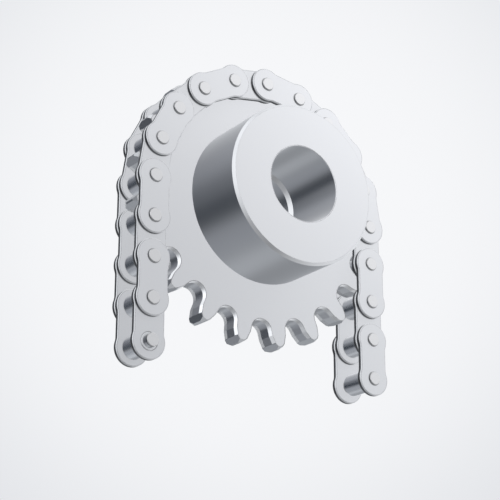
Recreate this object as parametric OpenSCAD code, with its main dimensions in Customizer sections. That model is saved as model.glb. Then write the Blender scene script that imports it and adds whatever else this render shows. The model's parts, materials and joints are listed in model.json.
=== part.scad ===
// Twenty-tooth hub sprocket with a single-strand roller chain draped over
// its upper half, both chain ends hanging straight down.
// Row frame: the wheel's axis is Y, the hub points to -Y, +Z is up, and the
// origin is the centre of the toothed disc.

/* [Chain] */
// Chain pitch, pin centre to pin centre
pitch = 31.75; // [31.5:0.05:32]
// Outer diameter of a roller
roller_d = 17.2; // [16.6:0.1:17.6]
// Outer diameter of a bush
bush_d = 13.4; // [12.8:0.1:13.8]
// Diameter of a pin
pin_d = 10.2; // [9.6:0.1:10.6]
// Clear width between the two inner plates
inner_w = 20; // [19.6:0.1:21]
// Thickness of every link plate
plate_t = 4; // [3.4:0.1:4.4]
// Height of a link plate at its round ends
plate_h = 27.2; // [26:0.1:28]
// Height of an outer plate at its waist
waist_h = 24.4; // [22:0.1:25.4]
// Height of an inner plate at its waist
inner_waist_h = 25; // [22:0.1:25.4]
// How far a pin stands out of the outer plate
pin_out = 1.6; // [0.6:0.1:2.4]

/* [Wheel] */
// Thickness of the toothed disc
tooth_w = 18.2; // [17:0.1:18.6]
// Gap between a seated roller and the tooth space
seat_gap = 0.3; // [0.2:0.05:0.4]
// Diameter over the tooth tips on the disc faces
tip_d = 226; // [225:0.5:227]
// Extra tip radius halfway through the disc
tip_crown = 1.6; // [0.6:0.1:1.8]
// Depth of the bevel along the tooth edges
bevel_d = 4.2; // [2:0.1:4.4]
// Width of the bevel along the tooth flanks
bevel_w = 0.25; // [0.2:0.05:0.5]
// Slope of the lower tooth flanks from the tooth's own axis
flank_tilt = 5; // [4:0.5:9]
// Slope of the upper tooth flanks from the tooth's own axis
shoulder_tilt = 18.5; // [17:0.5:22]
// Half width that the upper flanks would reach at the tip diameter
shoulder_half = 3.74; // [3.3:0.02:3.8]
// Slope of the tip facets from the tooth's own axis
facet_a = 42; // [36:1:46]
// Half width of the flat at the tooth tip
land = 2.3; // [1.8:0.1:2.4]

/* [Hub] */
// Diameter of the hub
hub_d = 128; // [120:1:132]
// Length of the hub in front of the disc
hub_len = 57; // [40:1:70]
// Diameter of the hub's bore
bore_d = 60.4; // [58:0.1:65]
// Diameter of the smaller bore through the disc
eye_d = 54.9; // [45:0.1:56]
// Depth of the hub's bore
bore_len = 55.8; // [40:0.1:56]
// Bevel on the hub's outer edge
hub_bevel = 1.8; // [1:0.1:2.4]

/* [Hidden] */
teeth = 20;
step = 360 / teeth;
pitch_r = pitch / 2 / sin(180 / teeth);
seat_r = roller_d / 2 + seat_gap;
flank_a = 180 / teeth + flank_tilt;      // lower flank's slope from the space's axis
flank_u = seat_r - 0.03;           // flank plane's distance from the seat's axis
inner_half = inner_w / 2 + plate_t;      // half width over the inner plates
outer_in = inner_half + 0.2;             // inside face of an outer plate
outer_half = outer_in + plate_t;         // outside face of an outer plate
pin_half = outer_half + pin_out;         // half length of a pin
first_seated = 5;                  // pin at the wheel's left side
last_seated = 15;                  // pin at the wheel's right side
steel = "#cfd2d6";
plate_c = "#d6d8db";
inner_c = "#cbced2";
roll_c = "#8f9297";
pin_c = "#d9d9d5";
$fn = 72;

// Drawing plane of the wheel: x to the right, y up, z towards the hub's face
module upright() { rotate([90, 0, 0]) children(); }

// Centre of chain pin i, counted from the left end over the top to the right end
function pin_at(i) =
    i < first_seated ? [-pitch_r, -(first_seated - i) * pitch] :
    i > last_seated ? [pitch_r, -(i - last_seated) * pitch] :
    pitch_r * [cos(180 - step * (i - first_seated)), sin(180 - step * (i - first_seated))];

// Frame of link i: origin on pin i, x towards pin i + 1
module link_frame(i) {
    a = pin_at(i);
    b = pin_at(i + 1);
    upright() translate([a[0], a[1], 0]) rotate([0, 0, atan2(b[1] - a[1], b[0] - a[0])]) children();
}

module at_pin(i) { upright() translate([pin_at(i)[0], pin_at(i)[1], 0]) children(); }

// Solid of revolution with small bevels on both ends
module bevelled_rod(r, half, b) {
    rotate_extrude() polygon([[0, -half], [r - b, -half], [r, -half + b],
        [r, half - b], [r - b, half], [0, half]]);
}

module bevelled_sleeve(r, ri, half, b) {
    rotate_extrude() polygon([[ri, -half], [r - b, -half], [r, -half + b],
        [r, half - b], [r - b, half], [ri, half]]);
}

// Outline of a link plate with its two holes: round ends that run into a
// straight waist over hollow curves of radius blend
module plate_outline(waist, hole_r) {
    blend = 12;
    end_r = plate_h / 2;
    y0 = waist / 2 + blend;                       // hollow curve's centre
    x0 = sqrt(pow(end_r + blend, 2) - y0 * y0) - 0.15;
    tx = x0 * end_r / (end_r + blend) + 0.3;      // where it meets the round end
    ty = y0 * end_r / (end_r + blend);
    difference() {
        union() {
            circle(r = end_r);
            translate([pitch, 0]) circle(r = end_r);
            difference() {
                translate([tx, -ty]) square([pitch - 2 * tx, 2 * ty]);
                for (s = [-1, 1]) {
                    for (x = [x0, pitch - x0]) translate([x, s * y0]) circle(r = blend);
                    translate([x0, s > 0 ? waist / 2 : -waist / 2 - blend]) square([pitch - 2 * x0, blend]);
                }
            }
        }
        circle(r = hole_r);
        translate([pitch, 0]) circle(r = hole_r);
    }
}

module plate_pair(i, inside, waist, hole_r) {
    link_frame(i) for (z = [inside, -inside - plate_t])
        translate([0, 0, z]) linear_extrude(height = plate_t) plate_outline(waist, hole_r);
}

// Pair of outer plates, pressed on their pins
module outer_plates(i) { color(plate_c) plate_pair(i, outer_in, waist_h, pin_d / 2); }

// Pair of inner plates, pressed on their bushes
module inner_plates(i) { color(inner_c) plate_pair(i, inner_w / 2, inner_waist_h, bush_d / 2); }

// The two riveted pins of an outer link
module pins(i) {
    color(pin_c) for (k = [i, i + 1]) at_pin(k) bevelled_rod(pin_d / 2, pin_half, 0.4);
}

// The two bushes of an inner link
module bushes(i) {
    color(roll_c) for (k = [i, i + 1]) at_pin(k) bevelled_sleeve(bush_d / 2, pin_d / 2 + 0.05, inner_half, 0.3);
}

// A roller turning on its bush
module roller(i) {
    color(roll_c) at_pin(i) bevelled_sleeve(roller_d / 2, bush_d / 2 + 0.08, inner_w / 2 - 0.2, 0.4);
}

// Loose pin in the bush at the open left end
module end_pin() { color(pin_c) at_pin(1) bevelled_rod(pin_d / 2, pin_half, 0.4); }

// Bush carried on the last pin at the right end
module end_bush() { color(roll_c) at_pin(19) bevelled_sleeve(bush_d / 2, pin_d / 2, inner_w / 2, 0.3); }

// Turned blank: disc with crowned rim, hub, bore with a 45 degree step
module blank() {
    h = tooth_w / 2;
    top = h + hub_len;
    shoulder = top - bore_len;
    rotate_extrude($fn = 144) polygon([
        [eye_d / 2 + 0.8, -h], [tip_d / 2, -h], [tip_d / 2 + tip_crown, -h + bevel_d],
        [tip_d / 2 + tip_crown, h - bevel_d], [tip_d / 2, h],
        [hub_d / 2, h], [hub_d / 2, top - hub_bevel * 1.25], [hub_d / 2 - hub_bevel, top],
        [bore_d / 2 + 0.3, top], [bore_d / 2, top - 0.3], [bore_d / 2, shoulder],
        [eye_d / 2, shoulder - (bore_d - eye_d) / 2], [eye_d / 2, -h + 0.8]]);
}

// Cross-section of a flank cut: a straight slot side that opens near both faces
module flank_section() {
    t = tooth_w / 2 + bevel_d;
    polygon([[-5, -t], [flank_u + 2 * bevel_w, -t], [flank_u, -t + 2 * bevel_d],
        [flank_u, t - 2 * bevel_d], [flank_u + 2 * bevel_w, t], [-5, t]]);
}

// Tooth space: round seat for the roller, two flanks, bevelled towards both faces
module tooth_space() {
    translate([pitch_r, 0, 0]) {
        cylinder(h = tooth_w + 4, r = seat_r, center = true);
        for (m = [0, 1]) mirror([0, 0, m]) translate([0, 0, tooth_w / 2 - bevel_d])
            cylinder(h = 2 * bevel_d, r1 = seat_r, r2 = seat_r + 2 * bevel_w);
        for (m = [0, 1]) mirror([0, m, 0]) rotate([0, 0, flank_a]) rotate([90, 0, 90])
            linear_extrude(height = 20) flank_section();
    }
}

// Cross-section of a cut beside a tooth, whose edges open by w at both faces
module side_section(w) {
    t = tooth_w / 2 + bevel_d;
    if (w > 0)
        polygon([[-2 * w, -t], [0, -t + 2 * bevel_d], [0, t - 2 * bevel_d], [-2 * w, t],
            [10, t], [10, -t]]);
    else translate([0, -t]) square([10, 2 * t]);
}

// Cut on both sides of a tooth, along lines that lean in by a and pass at
// half from the tooth's axis at the tip diameter
module side_cuts(a, half, w) {
    for (m = [0, 1]) mirror([0, m, 0])
        translate([tip_d / 2, half, 0]) rotate([0, 0, -a])
            translate([-13, 0, 0]) rotate([90, 0, 90])
                linear_extrude(height = 22) side_section(w);
}

module sprocket() {
    color(steel) upright() difference() {
        blank();
        for (i = [0 : teeth - 1]) {
            rotate([0, 0, step * i]) tooth_space();
            rotate([0, 0, step * (i + 0.5)]) {
                side_cuts(shoulder_tilt, shoulder_half, bevel_w);
                side_cuts(facet_a, land, 0);
            }
        }
    }
}

sprocket();
outer_plates(2);  // outer_plates_2
outer_plates(4);  // outer_plates_4
outer_plates(6);  // outer_plates_6
outer_plates(8);  // outer_plates_8
outer_plates(10);  // outer_plates_10
outer_plates(12);  // outer_plates_12
outer_plates(14);  // outer_plates_14
outer_plates(16);  // outer_plates_16
outer_plates(18);  // outer_plates_18
pins(2);  // pins_2
pins(4);  // pins_4
pins(6);  // pins_6
pins(8);  // pins_8
pins(10);  // pins_10
pins(12);  // pins_12
pins(14);  // pins_14
pins(16);  // pins_16
pins(18);  // pins_18
inner_plates(1);  // inner_plates_1
inner_plates(3);  // inner_plates_3
inner_plates(5);  // inner_plates_5
inner_plates(7);  // inner_plates_7
inner_plates(9);  // inner_plates_9
inner_plates(11);  // inner_plates_11
inner_plates(13);  // inner_plates_13
inner_plates(15);  // inner_plates_15
inner_plates(17);  // inner_plates_17
bushes(1);  // bushes_1
bushes(3);  // bushes_3
bushes(5);  // bushes_5
bushes(7);  // bushes_7
bushes(9);  // bushes_9
bushes(11);  // bushes_11
bushes(13);  // bushes_13
bushes(15);  // bushes_15
bushes(17);  // bushes_17
roller(1);  // roller_1
roller(2);  // roller_2
roller(3);  // roller_3
roller(4);  // roller_4
roller(5);  // roller_5
roller(6);  // roller_6
roller(7);  // roller_7
roller(8);  // roller_8
roller(9);  // roller_9
roller(10);  // roller_10
roller(11);  // roller_11
roller(12);  // roller_12
roller(13);  // roller_13
roller(14);  // roller_14
roller(15);  // roller_15
roller(16);  // roller_16
roller(17);  // roller_17
roller(18);  // roller_18
roller(19);  // roller_19
end_pin();
end_bush();
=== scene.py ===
"""Finishes for a hub sprocket with a roller chain: steel surfaces, softened plate edges, soft studio light."""
import json
import math

import bmesh
import bpy
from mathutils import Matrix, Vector

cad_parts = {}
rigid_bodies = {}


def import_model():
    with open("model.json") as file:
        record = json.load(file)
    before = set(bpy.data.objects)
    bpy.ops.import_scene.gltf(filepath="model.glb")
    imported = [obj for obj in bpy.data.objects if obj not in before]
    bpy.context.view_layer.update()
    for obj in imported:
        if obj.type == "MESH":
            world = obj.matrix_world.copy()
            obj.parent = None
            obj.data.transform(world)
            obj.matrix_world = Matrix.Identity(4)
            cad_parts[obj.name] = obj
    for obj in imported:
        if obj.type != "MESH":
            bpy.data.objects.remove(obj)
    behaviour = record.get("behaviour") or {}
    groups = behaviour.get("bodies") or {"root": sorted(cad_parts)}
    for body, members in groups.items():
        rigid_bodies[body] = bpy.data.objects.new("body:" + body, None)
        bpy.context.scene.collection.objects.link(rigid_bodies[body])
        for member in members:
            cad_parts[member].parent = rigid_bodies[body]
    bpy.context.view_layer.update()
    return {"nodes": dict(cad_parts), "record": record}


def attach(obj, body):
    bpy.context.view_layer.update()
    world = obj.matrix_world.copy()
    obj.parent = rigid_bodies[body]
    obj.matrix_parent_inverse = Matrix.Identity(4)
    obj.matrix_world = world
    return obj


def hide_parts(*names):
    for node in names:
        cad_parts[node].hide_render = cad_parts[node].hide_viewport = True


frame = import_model()
scene = bpy.context.scene

MM = 0.001
PITCH = 31.75 * MM
PITCH_R = PITCH / 2 / math.sin(math.pi / 20)


def pin_at(i):
    """Centre of pin i in the X-Z plane, in metres; 1 is the left end, 19 the right end."""
    if i < 5:
        return Vector((-PITCH_R, 0, -(5 - i) * PITCH))
    if i > 15:
        return Vector((PITCH_R, 0, -(i - 15) * PITCH))
    a = math.radians(180 - 18 * (i - 5))
    return Vector((PITCH_R * math.cos(a), 0, PITCH_R * math.sin(a)))


# ---------------------------------------------------------------- node helper
class Graph:
    """Small helper that adds shader nodes and links them."""

    def __init__(self, tree):
        self.tree = tree
        tree.nodes.clear()

    def add(self, kind, **settings):
        n = self.tree.nodes.new(kind)
        for k, v in settings.items():
            setattr(n, k, v)
        return n

    def put(self, socket, value):
        if hasattr(value, "is_output"):
            self.tree.links.new(value, socket)
        elif value is not None:
            socket.default_value = value

    def math(self, op, a, b=None, c=None, clamp=False):
        n = self.add("ShaderNodeMath", operation=op, use_clamp=clamp)
        for s, v in zip(n.inputs, (a, b, c)):
            self.put(s, v)
        return n.outputs[0]

    def vec(self, op, a, b=None):
        n = self.add("ShaderNodeVectorMath", operation=op)
        self.put(n.inputs[0], a)
        if b is not None:
            self.put(n.inputs[1], b)
        return n.outputs["Value"] if op in ("DOT_PRODUCT", "LENGTH", "DISTANCE") else n.outputs["Vector"]

    def split(self, v):
        n = self.add("ShaderNodeSeparateXYZ")
        self.put(n.inputs[0], v)
        return n.outputs

    def join(self, x, y, z):
        n = self.add("ShaderNodeCombineXYZ")
        for s, v in zip(n.inputs, (x, y, z)):
            self.put(s, v)
        return n.outputs[0]

    def noise(self, where, scale, detail=2.0, rough=0.5, dims="3D"):
        n = self.add("ShaderNodeTexNoise", noise_dimensions=dims)
        if dims == "1D":
            self.put(n.inputs["W"], where)
        else:
            self.put(n.inputs["Vector"], where)
        n.inputs["Scale"].default_value = scale
        n.inputs["Detail"].default_value = detail
        n.inputs["Roughness"].default_value = rough
        return n.outputs[0]

    def ramp(self, x, lo, hi, to_lo=0.0, to_hi=1.0, smooth=True):
        n = self.add("ShaderNodeMapRange", interpolation_type="SMOOTHSTEP" if smooth else "LINEAR")
        self.put(n.inputs["Value"], x)
        for name, v in (("From Min", lo), ("From Max", hi), ("To Min", to_lo), ("To Max", to_hi)):
            n.inputs[name].default_value = v
        return n.outputs[0]

    def mix(self, f, a, b):
        n = self.add("ShaderNodeMix", data_type="RGBA")
        self.put(n.inputs[0], f)
        self.put(n.inputs[6], a)
        self.put(n.inputs[7], b)
        return n.outputs[2]

    def to_pin(self, x, z):
        """Distance from the nearest pin's axis, for places in the rest pose."""
        turn = self.math("MULTIPLY", self.math("ROUND", self.math("DIVIDE", self.math("ARCTAN2", z, x), math.radians(18))),
                         math.radians(18))
        away = self.vec("LENGTH", self.join(
            self.math("SUBTRACT", x, self.math("MULTIPLY", self.math("COSINE", turn), PITCH_R)), 0.0,
            self.math("SUBTRACT", z, self.math("MULTIPLY", self.math("SINE", turn), PITCH_R))))
        down = self.vec("LENGTH", self.join(
            self.math("SUBTRACT", self.math("ABSOLUTE", x), PITCH_R), 0.0,
            self.math("SUBTRACT", z, self.math("MULTIPLY", self.math("ROUND", self.math("DIVIDE", z, PITCH)), PITCH))))
        hangs = self.math("LESS_THAN", z, -0.3 * PITCH)
        return self.math("ADD", away, self.math("MULTIPLY", self.math("SUBTRACT", down, away), hangs))

    def bump(self, height, distance, normal=None, strength=1.0):
        n = self.add("ShaderNodeBump")
        n.inputs["Strength"].default_value = strength
        n.inputs["Distance"].default_value = distance
        self.put(n.inputs["Height"], height)
        if normal is not None:
            self.put(n.inputs["Normal"], normal)
        return n.outputs[0]


def steel(name, tint, rough, grain="satin", plate=None):
    """Bare steel. grain is satin for tumbled plates, turned for lathe work, ground for pins and rollers.
    plate gives the near and far side of the front and back plate of a pair, for their sheared rims."""
    m = bpy.data.materials.new(name)
    m.use_nodes = True
    g = Graph(m.node_tree)
    out = g.add("ShaderNodeOutputMaterial")
    b = g.add("ShaderNodeBsdfPrincipled")
    b.inputs["Metallic"].default_value = 1.0
    g.put(out.inputs["Surface"], b.outputs[0])
    obj = g.add("ShaderNodeTexCoord").outputs["Object"]
    nx, ny, nz = g.split(g.add("ShaderNodeNewGeometry").outputs["Normal"])
    wall = g.ramp(g.math("ABSOLUTE", ny), 0.3, 0.5, 1.0, 0.0)
    x, y, z = g.split(obj)
    # slow drift of tone, as on handled bare steel
    drift = g.noise(obj, 28.0, 3.0, 0.55)
    fleck = g.noise(obj, 420.0, 3.0, 0.6)
    tone = g.math("ADD", g.math("MULTIPLY", g.math("SUBTRACT", drift, 0.5), 0.05),
                  g.math("MULTIPLY", g.math("SUBTRACT", fleck, 0.5), 0.02))
    dark = tuple(c * 0.93 for c in tint) + (1,)
    light = tuple(min(1.0, c * 1.05) for c in tint) + (1,)
    colour = g.mix(g.math("ADD", tone, 0.55, clamp=True), dark, light)
    rr = g.math("ADD", rough, g.math("MULTIPLY", tone, 0.08))
    if grain == "turned":
        radius = g.vec("LENGTH", g.join(x, 0.0, z))
        run = g.math("ADD", radius, y)
        fine = g.noise(run, 900.0, 1.0, 0.5, dims="1D")
        wide = g.noise(run, 260.0, 2.0, 0.5, dims="1D")
        marks = g.math("ADD", g.math("MULTIPLY", fine, 0.6), g.math("MULTIPLY", wide, 0.4))
        normal = g.bump(marks, 0.0000015)
        # true lathe normals on the hub and in the bores, where the mesh's seam would leave a crease
        spread = g.math("SQRT", g.math("MAXIMUM", g.math("SUBTRACT", 1.0, g.math("MULTIPLY", ny, ny)), 0.0))
        facing = g.math("SIGN", g.math("ADD", g.math("MULTIPLY", nx, x), g.math("MULTIPLY", nz, z)))
        reach = g.math("DIVIDE", g.math("MULTIPLY", spread, facing), radius)
        off = g.vec("SUBTRACT", g.join(g.math("MULTIPLY", x, reach), ny, g.math("MULTIPLY", z, reach)), g.join(nx, ny, nz))
        lathe = g.math("LESS_THAN", radius, 0.0645)
        normal = g.vec("NORMALIZE", g.vec("ADD", normal, g.vec("MULTIPLY", off, g.join(lathe, lathe, lathe))))
        rr = g.math("ADD", rr, g.math("MULTIPLY", g.math("SUBTRACT", marks, 0.5), 0.002))
        # along the tooth edges the shading normal is tilted as on a 45 degree bevel face, and the band's colour is
        # lightened towards white as a painted highlight
        band = g.math("MULTIPLY", g.ramp(g.math("ABSOLUTE", y), 0.00482, 0.00508),
                      g.math("MULTIPLY", g.ramp(radius, 0.0915, 0.0919), g.ramp(radius, 0.1100, 0.1105, 1.0, 0.0)))
        k = g.math("MULTIPLY", g.math("MULTIPLY", wall, band), g.math("SIGN", y))
        normal = g.vec("NORMALIZE", g.vec("ADD", normal, g.join(0.0, k, 0.0)))
        # painted highlight on the bevel band along the tooth edges
        colour = g.mix(g.math("MULTIPLY", g.math("ABSOLUTE", k), 0.8), colour, (0.92, 0.92, 0.92, 1))
    elif grain == "ground":
        fine = g.noise(y, 2600.0, 2.0, 0.6, dims="1D")
        normal = g.bump(fine, 0.0000012)
        rr = g.math("ADD", rr, g.math("MULTIPLY", g.math("SUBTRACT", fine, 0.5), 0.02))
    else:
        pits = g.noise(obj, 1500.0, 3.0, 0.6)
        normal = g.bump(pits, 0.0000015)
    if plate:
        # painted shade with grime on the rounded edge, the rough part of the sheared rim, and oil with painted crease
        # shade round the pins
        at = g.add("ShaderNodeAttribute", attribute_name="rounded_edge")
        edge_grime_and_shade = g.math("MULTIPLY", at.outputs["Fac"], g.ramp(g.noise(obj, 160.0, 2.0), 0.3, 0.6, 0.7, 1.0))
        turned_down = g.ramp(g.math("ABSOLUTE", ny), 0.80, 0.96, 1.0, 0.0)
        # painted shade and grime darken the rounded edge
        colour = g.mix(g.math("MULTIPLY", edge_grime_and_shade, turned_down), colour, tuple(c * 0.90 for c in tint) + (1,))
        near, far = plate
        depth = g.math("SUBTRACT", y, g.math("ADD", near, g.math("MULTIPLY", g.math("GREATER_THAN", y, 0.0), far - near)))
        ragged = g.math("ADD", depth, g.math("MULTIPLY", g.math("SUBTRACT", g.noise(obj, 900.0, 2.0), 0.5), 0.0005))
        sheared = g.math("MULTIPLY", g.ramp(ragged, 0.0010, 0.0014), wall)
        colour = g.mix(sheared, colour, tuple(c * 0.26 for c in tint) + (1,))
        # the punch rolls the rim over towards the front
        rolled = g.math("MULTIPLY", g.ramp(depth, 0.0005, 0.0011, -1.0, 0.0), wall)
        normal = g.vec("NORMALIZE", g.vec("ADD", normal, g.join(0.0, rolled, 0.0)))
        rr = g.math("ADD", rr, g.math("MULTIPLY", sheared, 0.1))
        ring = g.to_pin(x, z)
        # painted crease shade and oil in a broken ring round each pin
        oil_and_crease_shade = g.math("MULTIPLY", g.ramp(ring, 0.0052, 0.0055, 1.0, 0.0), g.ramp(g.noise(obj, 260.0, 2.0), 0.35, 0.6, 0.55, 1.0))
        colour = g.mix(oil_and_crease_shade, colour, tuple(c * 0.22 for c in tint) + (1,))
    if grain == "ground":
        # painted contact shade and oil on the last millimetre of a pin's end, next to the plate, with a dark broken
        # line round the rim of the end face
        foot_oil_and_shade = g.math("MULTIPLY", wall, g.math("MULTIPLY", g.ramp(g.math("ABSOLUTE", y), 0.0178, 0.0180),
                                               g.ramp(g.math("ABSOLUTE", y), 0.0188, 0.0194, 1.0, 0.0)))
        lip = g.math("MULTIPLY", g.math("GREATER_THAN", g.math("ABSOLUTE", y), 0.01935),
                     g.math("MULTIPLY", g.ramp(g.math("ABSOLUTE", ny), 0.9, 0.97, 1.0, 0.0), g.ramp(g.noise(obj, 300.0, 2.0), 0.35, 0.55, 0.4, 1.0)))
        foot_oil_and_shade = g.math("MAXIMUM", foot_oil_and_shade, g.math("MULTIPLY", lip, 0.8))
        colour = g.mix(foot_oil_and_shade, colour, tuple(c * 0.45 for c in tint) + (1,))
    if grain != "ground":
        # a fine dark line where the flat faces end, at the cut and sheared edges
        rim = g.add("ShaderNodeAmbientOcclusion", samples=8, inside=True, only_local=True)
        rim.inputs["Distance"].default_value = 0.0013
        line = g.math("MULTIPLY", g.ramp(rim.outputs["AO"], 0.60, 0.93, 1.0, 0.0),
                      g.math("MULTIPLY", g.ramp(g.math("ABSOLUTE", ny), 0.90, 0.97), g.ramp(g.noise(obj, 90.0, 3.0, 0.7), 0.38, 0.56, 0.45, 1.0)))
        colour = g.mix(line, colour, tuple(c * 0.30 for c in tint) + (1,))
    if grain == "satin":
        # painted contact shade and grime where pieces meet, from ambient occlusion
        touch = g.add("ShaderNodeAmbientOcclusion", samples=6)
        touch.inputs["Distance"].default_value = 0.0012
        shade = g.ramp(touch.outputs["AO"], 0.15, 0.75, 0.42, 1.0, smooth=False)
        colour = g.mix(shade, tuple(0.25 * c for c in tint) + (1,), colour)
    g.put(b.inputs["Base Color"], colour)
    g.put(b.inputs["Roughness"], rr)
    g.put(b.inputs["Normal"], normal)
    return m


WHEEL = steel("steel_wheel", (0.74, 0.74, 0.74), 0.28, grain="turned")
PLATE = steel("steel_outer_plate", (0.74, 0.74, 0.74), 0.28, plate=(-0.0182, 0.0142))
INNER = steel("steel_inner_plate", (0.73, 0.73, 0.73), 0.30, plate=(-0.014, 0.010))
PIN = steel("steel_pin", (0.76, 0.752, 0.74), 0.28, grain="ground")
BUSH = steel("steel_bush", (0.70, 0.70, 0.70), 0.30, grain="ground")
ROLLER = steel("steel_roller", (0.95, 0.95, 0.95), 0.22, grain="ground")


def dress(obj, material):
    obj.data.materials.clear()
    obj.data.materials.append(material)


# ------------------------------------------------------- plates, softened edges
def softened(node, name, material, body, pins, width):
    """A copy of a pair of plates with its outer edges rounded, as a stamped and tumbled plate has them."""
    src = frame["nodes"][node]
    bm = bmesh.new()
    bm.from_mesh(src.data)
    bmesh.ops.remove_doubles(bm, verts=bm.verts, dist=2e-7)
    bmesh.ops.dissolve_limit(bm, angle_limit=math.radians(1.0), verts=bm.verts, edges=bm.edges, delimit=set())
    edge_faces = bm.faces.layers.float.new("rounded_edge")
    rims = []
    for e in bm.edges:
        if len(e.link_faces) != 2 or e.calc_face_angle(0) < math.radians(50):
            continue
        mid = (e.verts[0].co + e.verts[1].co) / 2
        if min(math.hypot(mid.x - p.x, mid.z - p.z) for p in pins) > 9 * MM:
            rims.append(e)
    made = bmesh.ops.bevel(bm, geom=rims, offset=width, segments=3, profile=0.5, affect="EDGES",
                           clamp_overlap=True, loop_slide=True)
    bm.normal_update()
    # mark the rounded edge faces, where the material paints shade and grime
    for f in made["faces"]:
        f[edge_faces] = 1.0
    me = bpy.data.meshes.new(name)
    bm.to_mesh(me)
    bm.free()
    me.shade_smooth()
    me.set_sharp_from_angle(angle=math.radians(40))
    o = bpy.data.objects.new(name, me)
    scene.collection.objects.link(o)
    keep = o.modifiers.new("flats", "WEIGHTED_NORMAL")
    keep.keep_sharp = True
    keep.weight = 100
    me.materials.append(material)
    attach(o, body)
    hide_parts(node)
    return o


body_of_node = {n: b for b, ns in frame["record"]["behaviour"]["bodies"].items() for n in ns}
for node, obj in list(frame["nodes"].items()):
    if node == "sprocket":
        dress(obj, WHEEL)
    elif node.startswith(("outer_plates", "inner_plates")):
        i = int(node.rsplit("_", 1)[1])
        outer = node.startswith("outer")
        softened(node, f"plates_{i}", PLATE if outer else INNER, body_of_node[node],
                 (pin_at(i), pin_at(i + 1)), 0.55 * MM)
    elif node.startswith("pins") or node == "end_pin":
        dress(obj, PIN)
    elif node.startswith("roller"):
        dress(obj, ROLLER)
    else:
        dress(obj, BUSH)

# --------------------------------------------------------------- floor and camera
bm = bmesh.new()
bmesh.ops.create_grid(bm, x_segments=1, y_segments=1, size=12.0)
floor_mesh = bpy.data.meshes.new("floor")
bm.to_mesh(floor_mesh)
bm.free()
floor = bpy.data.objects.new("floor", floor_mesh)
floor.location = (0, 0, -0.75)
scene.collection.objects.link(floor)
fm = bpy.data.materials.new("pale_floor")
fm.use_nodes = True
fg = Graph(fm.node_tree)
fo = fg.add("ShaderNodeOutputMaterial")
fb = fg.add("ShaderNodeBsdfPrincipled")
fb.inputs["Roughness"].default_value = 0.9
fb.inputs["Specular IOR Level"].default_value = 0.1
fc = fg.add("ShaderNodeTexCoord").outputs["Object"]
fg.put(fb.inputs["Base Color"], fg.mix(fg.noise(fc, 3.0, 2.0), (0.872, 0.864, 0.846, 1), (0.900, 0.892, 0.873, 1)))
fg.put(fo.inputs["Surface"], fb.outputs[0])
floor_mesh.materials.append(fm)

camera_data = bpy.data.cameras.new("camera")
camera = bpy.data.objects.new("camera", camera_data)
scene.collection.objects.link(camera)
camera_data.sensor_width = 36.0
camera_data.lens = 104.10
camera_data.clip_start = 0.01
camera_data.clip_end = 50.0
camera.location = (-0.60422, -0.88221, -0.40495)
aim = Vector((0.00045, 0.00739, -0.03191))
camera.rotation_mode = "QUATERNION"
camera.rotation_quaternion = (aim - camera.location).to_track_quat("-Z", "Y")
scene.camera = camera

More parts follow.
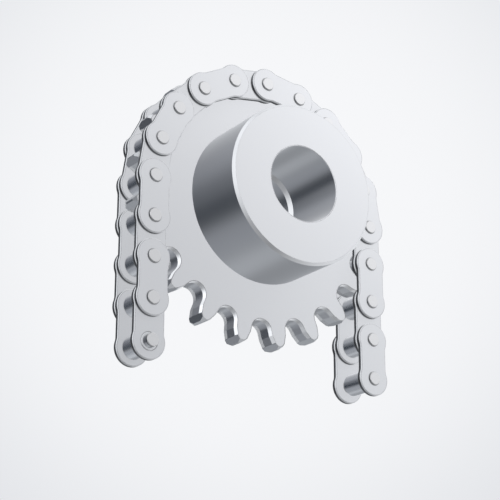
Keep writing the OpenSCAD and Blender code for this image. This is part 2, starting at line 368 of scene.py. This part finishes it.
# ------------------------------------------------------------------ studio light
# Soft lobes of light round the object: (direction x, y, z, half width in degrees, strength)
BASE = (0.003, 0.01, 0.021)
LOBES = [
    (0.65, -0.53, 0.53, 110, (0.459, 0.470, 0.490)),
    (-0.84, -0.54, 0.07, 45, (0.841, 0.860, 0.894)),
    (0.87, 0.31, -0.39, 110, (0.313, 0.323, 0.340)),
    (-0.12, -0.20, 0.97, 70, (0.575, 0.583, 0.599)),
    (-0.71, -0.18, -0.68, 70, (0.150, 0.151, 0.153)),
    (0.60, 0.61, 0.52, 28, (0.216, 0.218, 0.222)),
    (-0.64, 0.25, 0.73, 45, (0.591, 0.613, 0.648)),
    (0.65, -0.53, 0.53, 16, (1.002, 1.009, 1.036)),
    (-0.67, 0.06, -0.74, 45, (0.392, 0.403, 0.423)),
    (-0.71, -0.51, 0.49, 45, (0.130, 0.131, 0.134)),
    (-0.40, 0.77, -0.50, 20, (0.182, 0.191, 0.213)),
    (0.92, 0.39, 0.03, 16, (0.456, 0.460, 0.468)),
    (0.65, -0.35, -0.67, 70, (0.191, 0.189, 0.185)),
    (0.44, 0.59, 0.68, 45, (0.274, 0.278, 0.287)),
    (0.08, 0.88, -0.47, 20, (0.265, 0.278, 0.297)),
    (0.89, -0.00, -0.45, 28, (0.139, 0.142, 0.147)),
    (0.80, 0.39, 0.46, 20, (0.285, 0.287, 0.291)),
    (0.36, 0.20, -0.91, 45, (0.180, 0.185, 0.193)),
    (0.95, 0.12, -0.29, 20, (0.138, 0.140, 0.143)),
    (0.79, -0.54, 0.27, 28, (0.380, 0.382, 0.392)),
    (-0.84, 0.53, 0.14, 16, (0.638, 0.654, 0.685)),
    (-0.23, -0.84, -0.50, 20, (0.899, 0.922, 0.963)),
    (0.23, -0.17, 0.96, 16, (0.299, 0.307, 0.322)),
    (0.45, -0.76, 0.47, 16, (0.237, 0.230, 0.235)),
    (0.04, 1.00, -0.04, 28, (0.213, 0.215, 0.219)),
    (-0.56, -0.28, -0.78, 28, (0.095, 0.094, 0.092)),
    (-0.37, 0.90, -0.24, 16, (0.114, 0.114, 0.117)),
    (-0.12, 0.55, -0.83, 16, (0.313, 0.323, 0.341)),
    (-0.32, 0.84, 0.44, 28, (0.039, 0.038, 0.043)),
    (-0.80, -0.54, 0.26, 30, (0.25, 0.255, 0.265)),
    (-0.50, 0.78, 0.37, 45, (0.042, 0.044, 0.049)),
    (-0.10, 0.80, 0.60, 28, (0.035, 0.036, 0.040)),
    (0.00, -0.99, 0.05, 28, (0.26, 0.265, 0.275)),
    (0.00, 1.00, 0.00, 28, (0.40, 0.41, 0.42)),
]
world = bpy.data.worlds.new("studio")
scene.world = world
world.use_nodes = True
w = Graph(world.node_tree)
direction = w.vec("NORMALIZE", w.add("ShaderNodeTexCoord").outputs["Generated"])
total = BASE
for lx, ly, lz, half, rgb in LOBES:
    toward = w.vec("DOT_PRODUCT", direction, tuple(Vector((lx, ly, lz)).normalized()))
    lobe = w.ramp(toward, math.cos(math.radians(half)), 1.0)
    n = w.add("ShaderNodeVectorMath", operation="SCALE")
    n.inputs[0].default_value = rgb
    w.put(n.inputs["Scale"], lobe)
    total = w.vec("ADD", n.outputs["Vector"], total)
room = w.add("ShaderNodeBackground")
w.put(room.inputs["Color"], total)
paper = w.add("ShaderNodeBackground")
aim = w.vec("DOT_PRODUCT", direction, tuple(Vector((0.528, 0.775, 0.348)).normalized()))
glow = w.mix(w.ramp(aim, 0.960, 0.997), (0.760, 0.775, 0.805, 1), (0.925, 0.932, 0.950, 1))
w.put(paper.inputs["Color"], w.mix(w.ramp(aim, 0.90, 0.957), (0.808, 0.825, 0.849, 1), glow))
seen = w.add("ShaderNodeLightPath").outputs["Is Camera Ray"]
shown = w.add("ShaderNodeMixShader")
w.put(shown.inputs[0], seen)
w.put(shown.inputs[1], room.outputs[0])
w.put(shown.inputs[2], paper.outputs[0])
w.put(w.add("ShaderNodeOutputWorld").inputs["Surface"], shown.outputs[0])

# Reflections show the studio's lights alone, with no part of the object in them
for obj in scene.objects:
    if obj.type == "MESH":
        obj.visible_glossy = False

scene.view_settings.view_transform = "Standard"
scene.view_settings.look = "None"
scene.view_settings.exposure = 0.0
scene.view_settings.gamma = 1.0
